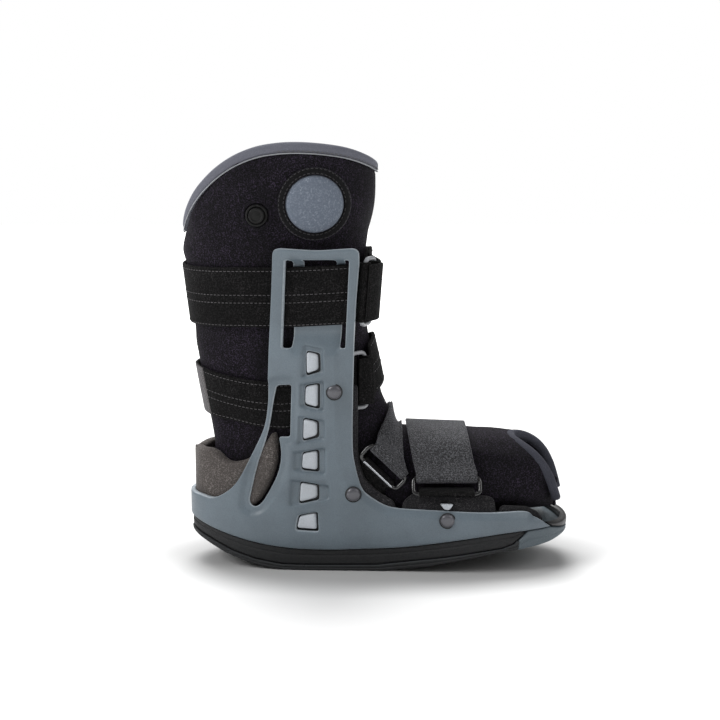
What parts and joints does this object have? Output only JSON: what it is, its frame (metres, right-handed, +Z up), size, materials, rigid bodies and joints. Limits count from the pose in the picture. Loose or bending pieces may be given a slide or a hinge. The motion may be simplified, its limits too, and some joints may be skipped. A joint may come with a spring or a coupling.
{
  "type": "medical walking boot",
  "caption": "Short walking boot: rigid side shell on a rocker sole, padded bootie with open toe, four ring straps, air pump and release valve.",
  "frame": {"origin": "centre of the bounding box at floor level, under the sole", "axes": "+X towards the toe, +Z up the leg; the strap rings and the pump are on the -Y side"},
  "size_m": [0.2979, 0.1307, 0.322],
  "materials": {
    "shell": "satin moulded plastic",
    "insert": "satin moulded plastic",
    "midsole": "matt dense foam",
    "outsole": "matt rubber",
    "guard": "satin rubber",
    "foam": "heather foam, matt",
    "bootie": "brushed loop fabric, matt",
    "binding": "folded edge tape, matt",
    "pump": "soft coated fabric, matt",
    "piping": "stitched piping, matt",
    "valve": "satin black plastic",
    "loop_strap": "short pile loop strap, matt",
    "webbing": "woven webbing, matt",
    "pale_ring": "satin pale ring",
    "black_ring": "gloss black ring",
    "rivet": "satin dome"
  },
  "bodies": {
    "boot": {"shell": "shell", "window_insert_near": "insert", "window_insert_far": "insert", "midsole": "midsole", "outsole": "outsole", "toe_guard": "guard", "foot_liner": "foam", "heel_collar": "foam", "bootie": "bootie", "cuff_binding": "binding", "mouth_binding": "binding", "pump_cushion": "pump", "pump_ring": "piping", "valve_body": "valve", "upper_strap": "loop_strap", "upper_ring": "pale_ring", "lower_strap": "loop_strap", "lower_ring": "pale_ring", "instep_strap": "webbing", "instep_ring": "black_ring", "instep_anchor": "loop_strap", "toe_strap": "webbing", "toe_ring": "black_ring", "toe_anchor": "loop_strap", "strap_clip": "insert", "rivet_near_1": "rivet", "rivet_near_2": "rivet", "rivet_near_3": "rivet", "rivet_far_1": "rivet", "rivet_far_2": "rivet", "rivet_far_3": "rivet"},
    "release_button": {"release_button": "valve"}
  },
  "joints": [
    {"name": "release_press", "type": "slide", "parent": "boot", "child": "release_button", "axis": [0, 1, 0], "range_m": [0, 0.0015], "stiffness_N_per_m": 500}
  ]
}
